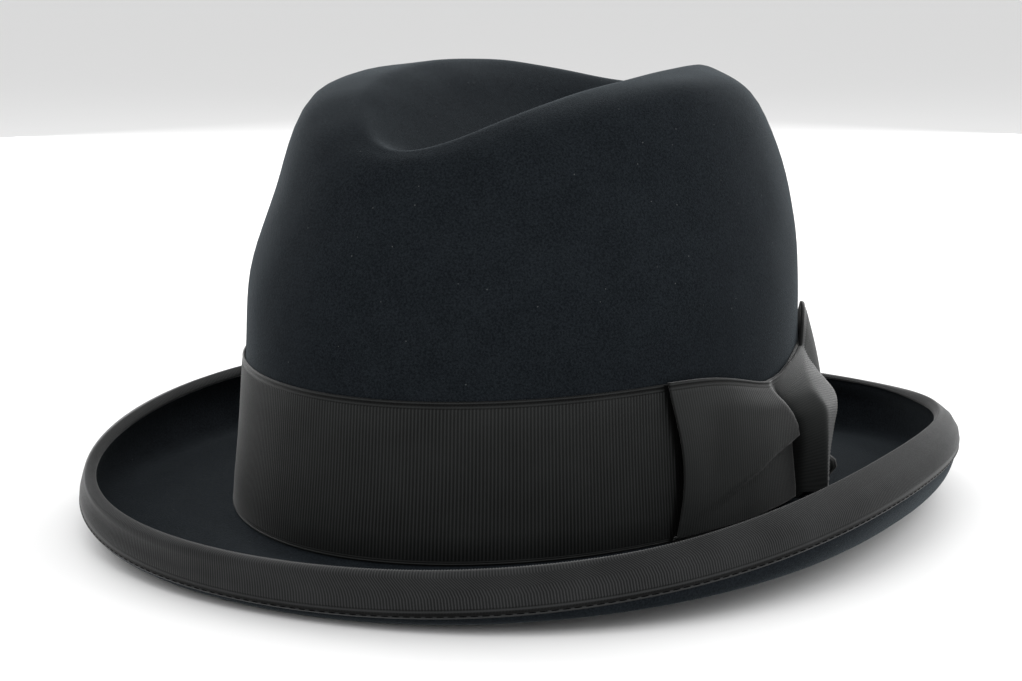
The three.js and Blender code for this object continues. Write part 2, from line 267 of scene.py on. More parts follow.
def even_angles(share, pitch, columns):
    """Angles for ribs of about that pitch, so many columns to each of them, evenly along a section's
    outline.
    """
    fine = np.linspace(0, 2 * math.pi, OUTLINE_STEPS + 1)
    points = Meridians(fine).off([share])[0]
    lengths = np.concatenate([[0], np.cumsum(np.linalg.norm(np.diff(points, axis=0), axis=-1))])
    count = round(lengths[-1] / pitch) * columns
    return np.interp(np.arange(count) * lengths[-1] / count, lengths, fine)


def bow_angles(distances):
    """Angles round the crown at distances along its wall from the middle of the knot, towards the front."""
    return math.radians(BOW_ANGLE) - distances / (CROWN_LENGTH / 2)


def bow_distances(angles):
    """Distances for angles round the crown, large behind the knot as on the far side."""
    distances = (math.radians(BOW_ANGLE) - angles) * CROWN_LENGTH / 2
    return np.where(distances < 0, distances + math.pi * CROWN_LENGTH, distances)


def on_wall(distances, heights, offsets):
    """Points at distances from the knot, heights above the crown's foot and offsets from the felt. Heights
    under 0 hang straight down from the foot."""
    distances, heights, offsets = np.broadcast_arrays(distances, heights, offsets)
    meridians = Meridians(bow_angles(distances.ravel()))
    shares = meridians.climb(heights.reshape(1, -1))
    points = meridians.off(shares, offsets.reshape(1, -1)).reshape(*distances.shape, 3)
    points[..., 2] += np.minimum(heights, 0)
    return points


def band_height(angles):
    """Height of the band's top edge, which is drawn down beside the knot."""
    away = (np.degrees(angles) - DIP_ANGLE) / DIP_SPREAD
    return BAND_HEIGHT - BAND_DIP * np.exp(-away ** 2)


def add_mesh(name, points, quads):
    mesh = bpy.data.meshes.new(name)
    mesh.from_pydata(points.reshape(-1, 3).tolist(), [], quads.tolist())
    mesh.polygons.foreach_set("use_smooth", np.ones(len(quads), bool))
    mesh.update()
    piece = bpy.data.objects.new(name, mesh)
    bpy.context.scene.collection.objects.link(piece)
    return piece


def add_loft(name, loops, ring=False, rib=None):
    """Closed body through a grid of points: rows go round a section, and columns are the sections, which
    close into a ring or are capped. The last argument is a tone per point, kept as a point attribute for the
    material: high on the ribs and low between them, which paints a highlight on the ribs and shade between
    them, with painted highlight on raised cords and painted shade where parts of the bow meet or overhang."""
    rows, columns = loops.shape[:2]
    vertex = np.arange(rows * columns).reshape(rows, columns)
    column = np.arange(columns if ring else columns - 1)
    beside = (column + 1) % columns
    quads = []
    for row in range(rows):
        below = (row + 1) % rows
        quads.append(np.stack([vertex[row, column], vertex[row, beside],
                               vertex[below, beside], vertex[below, column]], 1))
    if not ring:
        for row in range(rows // 2 - 1):
            far = rows - 1 - row
            for end, order in ((0, 1), (columns - 1, -1)):
                cap = [vertex[row, end], vertex[row + 1, end], vertex[far - 1, end], vertex[far, end]]
                quads.append(np.array([cap[::order]]))
    quads = np.concatenate(quads)
    points = loops.reshape(-1, 3)
    a, b, c, d = (points[quads[:, corner]] for corner in range(4))
    volume = np.einsum("ij,ij->", a + b + c + d, np.cross(c - a, d - b))
    if volume < 0:
        quads = quads[:, ::-1]
    piece = add_mesh(name, points, quads)
    if rib is not None:
        values = piece.data.attributes.new("rib", "FLOAT", "POINT")
        values.data.foreach_set("value", np.broadcast_to(rib, (rows, columns)).astype(np.float32).ravel())
    return piece


def place(piece, material, slot, *nodes):
    """Gives a piece its material and the CAD nodes that it stands for, and lets it ride. slot is not used.
    """
    piece.data.materials.append(material)
    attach(piece, "root")
    if nodes:
        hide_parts(*nodes)
    return piece


# Felt crown and brim

FELT_COLUMNS = 216
FELT_REFINE = 3

# Unevenness of the crown: its height, its wave lengths in millimetres along x, y and z, and the spans above
# the foot where it begins
WAVE_HEIGHT = 0.28 * MM
WAVE_LENGTHS = ((47, 31, 53), (29, 43, 37), (71, 59, 23))
WAVE_FADE = 3

# How far the felt is pinched up along the crest of the ridges, and over how many spans to each side
CREST_PINCH = 0.6 * MM
CREST_SPREAD = 0.28


def waves(points):
    """Soft unevenness of hand-blocked felt, from -1 to 1."""
    total = np.zeros(points.shape[:-1])
    for turn, lengths in enumerate(WAVE_LENGTHS):
        total += np.prod([
            np.sin(points[..., axis] / (length * MM) * 2 * math.pi + turn + axis)
            for axis, length in enumerate(lengths)
        ], 0)
    return total / len(WAVE_LENGTHS)


def make_felt():
    shares = [TINY]
    for row, section in enumerate(SECTIONS):
        steps = section.steps * FELT_REFINE
        shares += [(row + (step + 1) / steps) / SPANS for step in range(steps)]
    shares = np.array(shares)
    meridians = Meridians(np.arange(FELT_COLUMNS) * 2 * math.pi / FELT_COLUMNS)
    free = smooth((FOOT_SHARE - shares) * SPANS - WAVE_FADE)[:, None]
    uneven = waves(meridians.off(shares)) * WAVE_HEIGHT * free
    uneven += CREST_PINCH * np.exp(-((shares * SPANS - CREST_ROW) / CREST_SPREAD) ** 2)[:, None]
    upper = meridians.off(shares, HALF_FELT + uneven)
    lower = meridians.off(shares, -HALF_FELT + uneven)
    loops = np.concatenate([upper, lower[::-1]])
    loops[..., 2] = np.maximum(loops[..., 2], 0)
    return add_loft("felt_hat", loops, ring=True)


# Ribbons

RIB_COLUMNS = 3

# Across a ribbon's edge: distance in millimetres from it, share of the ribs there, and share of the cord
EDGE_COLUMNS = "distance ribs cord"
EDGE_ROWS = (
    (0, 0, -2.5),
    (0.15, 0, 0),
    (0.4, 0, 1),
    (0.75, 0, -0.5),
    (1.2, 0.2, -0.9),
    (1.6, 0, 0.8),
    (2, 0.3, -0.7),
    (2.3, 1, 0),
)
CORD_DEPTH = 0.16 * MM

# share of the ribbon's height plus a distance give a row's place. tone brightens the colour where the cords
# stand up: a painted highlight.
RibbonRow = namedtuple("RibbonRow", "share distance ribs cord tone")


def edge_rows(share, sign):
    """Rows in from a ribbon's lower (share 0, sign 1) or upper edge (share 1, sign -1)."""
    rows = []
    for row in table(EDGE_COLUMNS, EDGE_ROWS):
        distance = sign * row["distance"] * MM
        cord = row["cord"] * CORD_DEPTH
        rows.append(RibbonRow(share, distance, row["ribs"], cord, max(row["cord"], 0)))
    return rows[::sign]


def middle_rows(count, low=True, high=True):
    """Rows between a ribbon's edges, with the ribs in full."""
    margin = EDGE_ROWS[-1][0] * MM
    shares = np.linspace(0, 1, count + 2)[1:-1]
    return [RibbonRow(share, margin * (low * (1 - share) - high * share), 1, 0, 0) for share in shares]


def rib_wave(columns):
    """Height of the ribs at each column: 1 on each crest, 0 between two ribs. The colour follows it as a
    painted highlight on the ribs and painted shade between them.
    """
    return 0.5 + 0.5 * np.cos(np.arange(columns) / RIB_COLUMNS * 2 * math.pi)


def ribbon_values(rows):
    """The rows' named columns as arrays with a row for each."""
    return (np.array(values)[:, None] for values in zip(*rows))


# Share of the meridians at which the band's ribs are spaced, and the height of its lower edge over the foot
BAND_SHARE = FOOT_SHARE - 1.5 / SPANS
BAND_FOOT = -0.5 * MM
BAND_ROWS = 5
BACK_SHARES = (1, 0.5, 0)


def make_band():
    angles = even_angles(BAND_SHARE, BAND_RIB_PITCH, RIB_COLUMNS)
    meridians = Meridians(angles)
    rows = edge_rows(0, 1) + middle_rows(BAND_ROWS) + edge_rows(1, -1)
    share, distance, ribs, cord, tone = ribbon_values(rows)
    tall = band_height(angles) - BAND_FOOT
    height = BAND_FOOT + share * tall + distance
    rib = ribs * rib_wave(len(angles))
    outside = meridians.off(meridians.climb(height), BAND_LIFT + cord + rib * RIB_DEPTH)
    outside[..., 2] += np.minimum(height, 0)
    back = np.array(BACK_SHARES)[:, None]
    inside = meridians.off(meridians.climb(BAND_FOOT + back * tall), HALF_FELT + RIBBON_GAP)
    inside[-1, :, 2] += BAND_FOOT
    # Painted shadow on the band just ahead of the front loop's free edge
    clear = bow_distances(angles) - LOOP_REACH + free_hollow(height / BAND_HEIGHT)
    rib = (rib + tone) * smooth(clear / FREE_SHADE)
    rib = np.concatenate([rib, np.zeros(inside.shape[:2])])
    return add_loft("band_ribbon", np.concatenate([outside, inside]), ring=True, rib=rib)


# Shares of the meridians at which the binding ends outside and inside the brim's edge, its gap to the felt,
# and how square the fold over the edge is: 1 is round
BINDING_OUTSIDE = 1 - 2 / SPANS
BINDING_INSIDE = 1 - 1 / 3 / SPANS
BINDING_GAP = 0.12 * MM
BINDING_ROWS = 3
RIM_STEPS = 5
RIM_POWER = 0.8

# Rows of the binding's back: share of the meridians, face of the felt (1 upper, -1 lower) and reach past the
# brim's edge
LINING_ROWS = (
    (BINDING_INSIDE, 1, 0),
    (1, 1, BINDING_GAP),
    (1, -1, BINDING_GAP),
    (1 - 0.5 / SPANS, -1, 0),
    (1 - 1 / SPANS, -1, 0),
    (1 - 1.5 / SPANS, -1, 0),
    (BINDING_OUTSIDE, -1, 0),
)


def make_binding():
    angles = even_angles(1, BINDING_RIB_PITCH, RIB_COLUMNS)
    meridians = Meridians(angles)
    near = HALF_FELT + BINDING_GAP
    far = near + RIBBON_THICKNESS
    rim = BINDING_GAP + RIBBON_THICKNESS
    width_out = meridians.walk(BINDING_OUTSIDE, 1)
    width_in = meridians.walk(BINDING_INSIDE, 1)
    wave = rib_wave(len(angles))

    rows = edge_rows(0, 1) + middle_rows(BINDING_ROWS, high=False)
    share, distance, ribs, cord, tone = ribbon_values(rows)
    shares_out = meridians.walk(BINDING_OUTSIDE, 1, share * width_out + distance)
    rib_out = ribs * wave
    outside = meridians.off(shares_out, -(far + cord + rib_out * RIB_DEPTH))
    rib_out = rib_out + tone

    turn = np.linspace(-math.pi / 2, math.pi / 2, RIM_STEPS)[:, None]
    lift = np.sign(np.sin(turn)) * np.abs(np.sin(turn)) ** RIM_POWER * (far + wave * RIB_DEPTH)
    past = np.abs(np.cos(turn)) ** RIM_POWER * (rim + wave * RIB_DEPTH)
    edge = meridians.off(np.ones(lift.shape), lift, past)

    share, distance, ribs, cord, tone = ribbon_values(edge_rows(0, 1)[::-1])
    shares_in = meridians.walk(BINDING_INSIDE, 1, share * width_in + distance)
    rib_in = ribs * wave
    inside = meridians.off(shares_in, far + cord + rib_in * RIB_DEPTH)
    rib_in = rib_in + tone

    lining = np.concatenate([meridians.off([at], face * near, past) for at, face, past in LINING_ROWS])
    rib_edge = np.repeat(wave[None], RIM_STEPS, 0)
    # Tone per point: painted highlight on the ribs and raised cords, painted shade between the ribs
    rib = np.concatenate([rib_out, rib_edge, rib_in, np.zeros(lining.shape[:2])])
    loops = np.concatenate([outside, edge, inside, lining])
    return add_loft("brim_binding_ribbon", loops, ring=True, rib=rib)


STITCH_PITCH = 2.9 * MM
STITCH_LENGTH = 2 * MM
STITCH_RADIUS = 0.17 * MM
STITCH_INSET = 0.55 * MM
STITCH_SIDES = 6

# Shares of a stitch's length, and its thickness there
STITCH_ROWS = ((0, 0.25), (0.12, 0.8), (0.5, 1), (0.88, 0.8), (1, 0.25))


def make_stitches():
    """Thread stitches that hold the binding's outer edge, each a short rounded bar."""
    angles = even_angles(BINDING_OUTSIDE, STITCH_PITCH, 1)
    nudge = 0.5 * (angles[1] - angles[0]) * STITCH_LENGTH / STITCH_PITCH
    inset = np.full((1, len(angles)), STITCH_INSET)
    lift = -(HALF_FELT + BINDING_GAP + RIBBON_THICKNESS)
    ends = []
    for turn in (-nudge, nudge):
        meridians = Meridians(angles + turn)
        ends.append(meridians.off(meridians.walk(BINDING_OUTSIDE, 1, inset), lift)[0])
    meridians = Meridians(angles)
    shares = meridians.walk(BINDING_OUTSIDE, 1, inset)
    outward = unit(meridians.off(shares, -1.0)[0] - meridians.off(shares)[0])
    axis = unit(ends[1] - ends[0])
    side = unit(np.cross(outward, axis))
    circle = np.arange(STITCH_SIDES) * 2 * math.pi / STITCH_SIDES
    rings = []
    for place_along, size in STITCH_ROWS:
        centre = ends[0] + (ends[1] - ends[0]) * place_along
        radius = STITCH_RADIUS * size
        spokes = [centre + (side * math.cos(c) + outward * math.sin(c)) * radius for c in circle]
        rings.append(np.stack(spokes, 1))
    points = np.stack(rings, 1)
    stitches, steps, sides = points.shape[:3]
    vertex = np.arange(stitches * steps * sides).reshape(stitches, steps, sides)
    beside = np.roll(vertex, -1, 2)
    quads = np.stack([vertex[:, :-1], beside[:, :-1], beside[:, 1:], vertex[:, 1:]], -1).reshape(-1, 4)
    caps = []
    for end, order in ((0, -1), (steps - 1, 1)):
        ring = vertex[:, end, ::order]
        caps += [ring[:, [0, 1, 2, 3]], ring[:, [0, 3, 4, 5]]]
    return add_mesh("binding_stitches", points, np.concatenate([quads] + caps))


# Side bow

def table_curves(columns, rows, shares):
    """A table's columns at shares of its first column, along smooth curves through its rows."""
    rows = np.array(rows, float)
    step = np.clip(np.searchsorted(rows[:, 0], shares, side="right") - 1, 0, len(rows) - 2)
    slopes = np.gradient(rows, rows[:, 0], axis=0)
    width = (rows[step + 1, 0] - rows[step, 0])[:, None]
    part = (shares[:, None] - rows[step, :1]) / width
    rise = rows[step + 1] - rows[step]
    first, last = slopes[step] * width, slopes[step + 1] * width
    square = 3 * rise - 2 * first - last
    cube = first + last - 2 * rise
    curve = rows[step] + part * (first + part * (square + part * cube))
    return dict(zip(columns.split(), curve.T))


# Painted shade where the knot and the front loop meet: their tone there as a share of their tones away from
# there
SHADE_TONE = 0.35


def out_of_painted_shade(values, span):
    """Painted shade: rises from SHADE_TONE to 1 as the values go through the span."""
    return SHADE_TONE + (1 - SHADE_TONE) * smooth((values - span[0]) / (span[1] - span[0]))


# Knot: a ribbon wrapped upright over the bow's middle, from the foot (0) to its flared top (1). Its face
# towards the front runs from the left edge to a corner, and its outer face from there to the rear corner.
# Distances along the wall, heights above the foot and depths from the felt are in millimetres.
KNOT_COLUMNS = ("at left left_height left_depth corner corner_height corner_depth "
                "rear rear_height rear_depth")
KNOT_ROWS = (
    (0, 8, -2, 1.8, 6, -2, 10.6, -6, -2.2, 7.9),
    (0.18, 8, 8.5, 2.8, 6, 10, 11.7, -7, 8.5, 9.1),
    (0.36, 8, 18, 4.2, 5.5, 21, 12.4, -8, 18, 11.2),
    (0.51, 9, 24, 3.6, 4, 27.5, 11.6, -12, 25, 12.4),
    (0.61, 12, 28, 2.3, 2, 31, 8.8, -16, 28.5, 11.4),
    (0.71, 16, 31.5, 1.8, -1, 33.5, 6.4, -18, 32, 8.6),
    (0.81, 19, 34.5, 1.7, -4, 37.5, 4.4, -19, 35.5, 5.6),
    (0.91, 21, 36.8, 1.6, -7.5, 40.5, 3.2, -19, 39.5, 3.6),
    (1, 21, 38, 1.3, -11, 43.5, 2, -18, 44.5, 2.4),
)
KNOT_RIBS = 58

# Steps along each side of its section, from the left edge's foot over the corners to the rear edge's foot,
# and how often the section is softened
KNOT_PATH_STEPS = (4, 14, 12, 8)
KNOT_CORNER = sum(KNOT_PATH_STEPS[:2])
KNOT_SOFT_PASSES = 2
KNOT_FOOT = 1 * MM
KNOT_REAR_SLANT = 2 * MM

# Shares of its front face over which its colour comes out of a painted shade beside the front loop, and
# tones
# of its ribs: painted shade between them and a highlight on them, set lighter for the light on its face
KNOT_SHADE = (0, 0.35)
KNOT_TONES = (0.55, 1.1)


def make_knot():
    row = table_curves(KNOT_COLUMNS, KNOT_ROWS, np.linspace(0, 1, KNOT_RIBS * RIB_COLUMNS + 1))
    row = {name: values * MM for name, values in row.items()}
    foot = np.full(row["left"].shape, KNOT_FOOT)
    corners = np.array([
        (row["left"], row["left_height"], foot),
        (row["left"], row["left_height"], row["left_depth"]),
        (row["corner"], row["corner_height"], row["corner_depth"]),
        (row["rear"], row["rear_height"], row["rear_depth"]),
        (row["rear"] - KNOT_REAR_SLANT, row["rear_height"], foot),
    ])
    path = [corners[:1]]
    for corner, steps in enumerate(KNOT_PATH_STEPS):
        part = (np.arange(steps) + 1)[:, None, None] / steps
        path.append(corners[corner] + (corners[corner + 1] - corners[corner]) * part)
    path = np.concatenate(path)
    for _ in range(KNOT_SOFT_PASSES):
        path[1:-1] = (path[:-2] + 2 * path[1:-1] + path[2:]) / 4
    distance, height, depth = path.transpose(1, 0, 2)
    wave = rib_wave(distance.shape[1])
    outer = on_wall(distance, height, HALF_FELT + depth + wave * RIB_DEPTH)
    inner = on_wall(distance, height, HALF_FELT + KNOT_FOOT - RIBBON_THICKNESS)
    rise = (depth - row["left_depth"]) / (row["corner_depth"] - row["left_depth"])
    rise[KNOT_CORNER:] = 1
    # Painted shade on the knot's front face next to the front loop
    shade = out_of_painted_shade(rise, KNOT_SHADE)
    rib = KNOT_TONES[0] + (KNOT_TONES[1] - KNOT_TONES[0]) * wave
    rib = np.concatenate([rib * shade, np.zeros(distance.shape)])
    return add_loft("bow_wrap", np.concatenate([outer, inner[::-1]]), rib=rib)


def knot_left(heights):
    """Distance of the knot's left edge at heights above the foot."""
    edge = np.array(KNOT_ROWS)[:-1, 1:3] * MM
    return np.interp(heights, edge[:, 1], edge[:, 0])


# Front loop from the knot (0) to its free edge (1). fold is the share of its height where its upper part
# overhangs its lower part. Depths below and above the fold are shares of LOOP_DEPTH.
LOOP_COLUMNS = "at fold below above"
LOOP_ROWS = (
    (0, 0.49, 0.35, 1.1),
    (0.14, 0.49, 0.45, 1.1),
    (0.36, 0.44, 0.55, 1),
    (0.48, 0.36, 0.55, 0.9),
    (0.6, 0.29, 0.5, 0.78),
    (0.7, 0.24, 0.48, 0.66),
    (0.85, 0.16, 0.42, 0.5),
    (1, 0.1, 0.35, 0.35),
)
LOOP_START = 4 * MM
LOOP_REACH = 73 * MM
LOOP_RIBS = 68
LOOP_MIDDLE_ROWS = 34
LOOP_FOOT = -1.2 * MM
LOOP_TOP = 0.6 * MM

# Heights over which the fold and the rolled top edge form, as shares of the loop's height, the depth of the
# top edge, and the distance off the knot over which the loop is tucked in
FOLD_WIDTH = 0.05
TOP_ROLL = 0.2
TOP_DEPTH = 0.35
TUCK_WIDTH = 6.5 * MM
TUCK_GAP = 0.5 * MM

# Free edge: how far it stands off the band and from which share of the length, how far it is drawn in and
# with which powers, and its rolled fold
FREE_LIFT = 1.3 * MM
FREE_LIFT_FROM = 0.75
FREE_HOLLOW = 3.6 * MM
HOLLOW_SLANT = 0.9
HOLLOW_SHARPNESS = 1.3
HOLLOW_FADE = 3
FREE_RADIUS = 0.45 * MM
FREE_ROLL_STEPS = 7

# Distances ahead of the free edge, and off the knot's side, over which the ribbon's colour comes out of a
# painted shade: a painted shadow on the band under the free edge, and painted shade on the loop tucked in by
# the knot
FREE_SHADE = 0.6 * MM
TUCK_SHADE = (5 * MM, 21 * MM)

# Tones between the loop's ribs and on them, painted shade and highlight set for the light on the loop, and
# the height of the ribs
LOOP_TONES = (0.4, 0.88)
LOOP_RIB_DEPTH = 0.1 * MM


def free_hollow(rise):
    """How far the loop's free edge is drawn in at a share of its height."""
    return FREE_HOLLOW * np.sin(math.pi * np.clip(rise, 0, 1) ** HOLLOW_SLANT) ** HOLLOW_SHARPNESS


def make_front_loop():
    """The loop's face, and the round fold at its free edge, which stands a little off the band."""
    rows = edge_rows(0, 1) + middle_rows(LOOP_MIDDLE_ROWS) + edge_rows(1, -1)
    share, inset, ribs, cord, tone = ribbon_values(rows)
    at = np.linspace(0, 1, LOOP_RIBS * RIB_COLUMNS + 1)
    turn = np.linspace(0, math.pi, FREE_ROLL_STEPS)[1:]
    columns = np.concatenate([at, np.ones(len(turn))])
    roll = np.concatenate([np.zeros(len(at)), turn])
    row = table_curves(LOOP_COLUMNS, LOOP_ROWS, columns)

    rise = share + inset / BAND_HEIGHT
    reach = LOOP_REACH - FREE_RADIUS - free_hollow(rise) * columns ** HOLLOW_FADE
    distance = LOOP_START + columns * (reach - LOOP_START)
    tall = band_height(bow_angles(distance)) + LOOP_TOP
    height = LOOP_FOOT + rise * (tall - LOOP_FOOT)

    body = row["below"] + (row["above"] - row["below"]) * smooth((rise - row["fold"]) / FOLD_WIDTH)
    depth = body + (TOP_DEPTH - body) * smooth((rise - 1) / TOP_ROLL + 1)
    clear = distance - knot_left(height)
    tuck = smooth(clear / TUCK_WIDTH)
    lift = FREE_LIFT * np.sin(math.pi * rise) * smooth((columns - FREE_LIFT_FROM) / (1 - FREE_LIFT_FROM))
    wave = np.concatenate([rib_wave(len(at)), np.zeros(len(turn))])
    face = BOW_LIFT + TUCK_GAP + (depth * LOOP_DEPTH + lift) * tuck + cord + ribs * wave * LOOP_RIB_DEPTH

    outer = on_wall(
        distance + FREE_RADIUS * np.sin(roll),
        height,
        face - FREE_RADIUS * (1 - np.cos(roll)),
    )
    back = np.maximum(face - FREE_RADIUS * np.where(roll > 0, 1, 2), BAND_LIFT)
    inner = on_wall(distance, height, back)
    # Painted shade on the loop where it tucks in beside the knot
    shade = out_of_painted_shade(clear, TUCK_SHADE)
    rib = ribs * (LOOP_TONES[0] + (LOOP_TONES[1] - LOOP_TONES[0]) * wave) + tone
    rib = np.concatenate([rib * shade, np.zeros(rib.shape)])
    return add_loft("bow_front", np.concatenate([outer, inner[::-1]]), rib=rib)


# Rear loop from the knot (0) to its end (1). Its upper corner stands above the band. peak is the share of
# its height where it stands out most, and depths are shares of REAR_DEPTH.
REAR_COLUMNS = "at low high peak middle edge"
REAR_ROWS = (
    (0, 0.03, 1.05, 0.4, 0.5, 0.2),
    (0.15, 0.03, 1.12, 0.4, 0.6, 0.15),
    (0.4, 0.02, 1.32, 0.45, 0.85, 0.12),
    (0.7, 0.03, 1.42, 0.5, 0.7, 0.12),
    (1, 0.12, 1.2, 0.5, 0.3, 0.12),
)
REAR_START = 4 * MM
REAR_RIBS = 45
REAR_MIDDLE_ROWS = 20

# Small fold that bulges out at the rear loop's foot, beside the knot: its place and size along and up
FOOT_FOLD_DEPTH = 6.5 * MM
FOOT_FOLD_PLACE = (-12.5 * MM, 5.5 * MM)
FOOT_FOLD_SIZE = (4.5 * MM, 4.2 * MM)


def make_rear_loop():
    rows = edge_rows(0, 1) + middle_rows(REAR_MIDDLE_ROWS) + edge_rows(1, -1)
    share, inset, ribs, cord, tone = ribbon_values(rows)
    at = np.linspace(0, 1, REAR_RIBS * RIB_COLUMNS + 1)
    row = table_curves(REAR_COLUMNS, REAR_ROWS, at)
    distance = -REAR_START - at * (REAR_LENGTH + KNOT_WIDTH / 2 - REAR_START)
    tall = BAND_HEIGHT - BAND_DIP
    rise = share + inset / BAND_HEIGHT
    height = (row["low"] + (row["high"] - row["low"]) * rise) * tall
    bulge = 1 - (2 * rise ** (math.log(0.5) / np.log(row["peak"])) - 1) ** 2
    depth = (row["edge"] + (row["middle"] - row["edge"]) * bulge) * REAR_DEPTH
    along, up = ((value - centre) / size for value, centre, size in
                 zip((distance, height), FOOT_FOLD_PLACE, FOOT_FOLD_SIZE))
    depth = depth + FOOT_FOLD_DEPTH * np.exp(-along ** 2 - up ** 2)
    wave = rib_wave(len(at))
    outer = on_wall(distance, height, BOW_LIFT + depth + cord + ribs * wave * RIB_DEPTH)
    inner = on_wall(distance, height, BOW_LIFT - RIBBON_GAP / 2)
    # Tone per point: painted highlight on the ribs and raised cords, painted shade between the ribs
    rib = np.concatenate([ribs * wave + tone, np.zeros(depth.shape)])
    return add_loft("bow_rear", np.concatenate([outer, inner[::-1]]), rib=rib)


# Materials

def new_material(name):
    material = bpy.data.materials.new(name)
    material.use_nodes = True
    nodes = material.node_tree.nodes
    return material, nodes, material.node_tree.links, nodes["Principled BSDF"]


def noise(nodes, links, coordinates, size, detail=2):
    """Noise whose features are about that size across, in metres."""
    node = nodes.new("ShaderNodeTexNoise")
    node.inputs["Scale"].default_value = 1 / size
    node.inputs["Detail"].default_value = detail
    links.new(coordinates, node.inputs["Vector"])
    return node.outputs["Fac"]


def bump(nodes, links, height, distance, normal=None):
    node = nodes.new("ShaderNodeBump")
    node.inputs["Strength"].default_value = 1
    node.inputs["Distance"].default_value = distance
    links.new(height, node.inputs["Height"])
    if normal is not None:
        links.new(normal, node.inputs["Normal"])
    return node.outputs["Normal"]


def ramp(nodes, links, value, stops):
    """Colours along a value. stops are two pairs of a place and its colour."""
    node = nodes.new("ShaderNodeValToRGB")
    for element, (at, color) in zip(node.color_ramp.elements, stops):
        element.position = at
        element.color = (*color, 1)
    links.new(value, node.inputs["Fac"])
    return node.outputs["Color"]


def mix(nodes, links, share, first, second):
    node = nodes.new("ShaderNodeMix")
    node.data_type = "RGBA"
    links.new(share, node.inputs["Factor"])
    for socket, color in ((node.inputs["A"], first), (node.inputs["B"], second)):
        if isinstance(color, tuple):
            socket.default_value = (*color, 1)
        else:
            links.new(color, socket)
    return node.outputs["Result"]


def math_node(nodes, links, operation, first, second):
    node = nodes.new("ShaderNodeMath")
    node.operation = operation
    for socket, value in zip(node.inputs, (first, second)):
        if isinstance(value, (int, float)):
            socket.default_value = value
        else:
            links.new(value, socket)
    return node.outputs["Value"]


def object_coordinates(nodes):
    return nodes.new("ShaderNodeTexCoord").outputs["Object"]


FELT_DARK = (0.0051, 0.0065, 0.0081)
FELT_LIGHT = (0.012, 0.0149, 0.0178)
FELT_STOPS = (0.36, 0.64)
FELT_SHEEN_TINT = (0.8, 0.92, 1, 1)
MOTTLE_SIZE = 9 * MM
MOTTLE_SHARE = 0.18
NAP_SIZE = 0.55 * MM
NAP_SHARE = 0.82
NAP_DEPTH = 0.08 * MM
FUZZ_SIZE = 0.25 * MM
FUZZ_DEPTH = 0.07 * MM

# Lint: grid of possible specks, their size as a share of it, and the share of them that is left out
LINT_COLOR = (0.05, 0.054, 0.056)
LINT_SPACING = 4 * MM
LINT_SIZE = 0.05
LINT_LEFT_OUT = 0.6


def felt_material():
    """Blue-black fur felt: a matt short nap that catches light at grazing angles, with specks of lint."""
    material, nodes, links, shader = new_material("fur_felt")
    where = object_coordinates(nodes)
    mottle = noise(nodes, links, where, MOTTLE_SIZE, 4)
    nap = noise(nodes, links, where, NAP_SIZE, 3)
    fuzz = noise(nodes, links, where, FUZZ_SIZE, 1)
    blend = math_node(nodes, links, "MULTIPLY_ADD", nap, NAP_SHARE)
    links.new(math_node(nodes, links, "MULTIPLY", mottle, MOTTLE_SHARE), blend.node.inputs[2])
    base = ramp(nodes, links, blend, zip(FELT_STOPS, (FELT_DARK, FELT_LIGHT)))
    cells = nodes.new("ShaderNodeTexVoronoi")
    cells.inputs["Scale"].default_value = 1 / LINT_SPACING
    links.new(where, cells.inputs["Vector"])
    speck = math_node(nodes, links, "LESS_THAN", cells.outputs["Distance"], LINT_SIZE)
    chosen = nodes.new("ShaderNodeSeparateColor")
    links.new(cells.outputs["Color"], chosen.inputs["Color"])
    kept = math_node(nodes, links, "GREATER_THAN", chosen.outputs["Red"], LINT_LEFT_OUT)
    lint = math_node(nodes, links, "MULTIPLY", speck, kept)
    links.new(mix(nodes, links, lint, base, LINT_COLOR), shader.inputs["Base Color"])
    shader.inputs["Roughness"].default_value = 0.95
    shader.inputs["Specular IOR Level"].default_value = 0.03
    shader.inputs["Sheen Weight"].default_value = 0.12
    shader.inputs["Sheen Roughness"].default_value = 0.3
    shader.inputs["Sheen Tint"].default_value = FELT_SHEEN_TINT
    soft = bump(nodes, links, nap, NAP_DEPTH)
    links.new(bump(nodes, links, fuzz, FUZZ_DEPTH, soft), shader.inputs["Normal"])
    return material


# Tones of the ribbons, between their ribs and on them: painted shade between the ribs and a painted
# highlight on them. The binding's copy is lighter, painted for the light that it catches.
RIBBON_VALLEY = (0.0016, 0.0017, 0.0017)
RIBBON_CREST = (0.0225, 0.024, 0.0237)
BINDING_VALLEY = (0.0025, 0.0026, 0.0026)
BINDING_CREST = (0.035, 0.0363, 0.037)
RIB_STOPS = (0.15, 0.85)
RIB_SHARE = 0.75
FADING_SIZE = 14 * MM
FADING_SHARE = 0.3
WEAVE_SIZE = 0.22 * MM
WEAVE_DEPTH = 0.035 * MM


